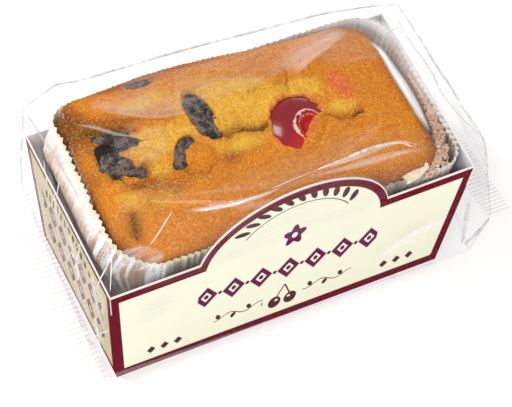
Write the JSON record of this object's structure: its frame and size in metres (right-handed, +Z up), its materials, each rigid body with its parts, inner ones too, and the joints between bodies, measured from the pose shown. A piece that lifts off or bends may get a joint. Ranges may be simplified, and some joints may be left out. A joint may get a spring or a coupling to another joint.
{
  "type": "wrapped fruit cake loaf",
  "caption": "Small fruit cake loaf with cherries and raisins in a pleated paper case, standing in an arched card tray and flow-wrapped in clear film.",
  "frame": {"origin": "middle of the tray's flat underside", "axes": "+Z up, X along the loaf's length, the tray's arched front faces -Y"},
  "size_m": [0.1736, 0.077, 0.0928],
  "materials": {
    "card_tray": "cream printed card with dark red borders",
    "paper_case": "thin white pleated baking paper",
    "cake_loaf": "golden brown baked crust",
    "cherry": "glossy syrupy red",
    "cherry_half": "red fruit showing through the crumb",
    "raisin": "dark wrinkled dried fruit",
    "film_wrap": "clear glossy film"
  },
  "bodies": {
    "root": {"card_tray": "card_tray", "paper_case": "paper_case", "cake_loaf": "cake_loaf", "cherry": "cherry", "cherry_half": "cherry_half", "raisin_1": "raisin", "raisin_2": "raisin", "raisin_3": "raisin", "raisin_4": "raisin", "raisin_5": "raisin", "film_wrap": "film_wrap"}
  },
  "joints": []
}
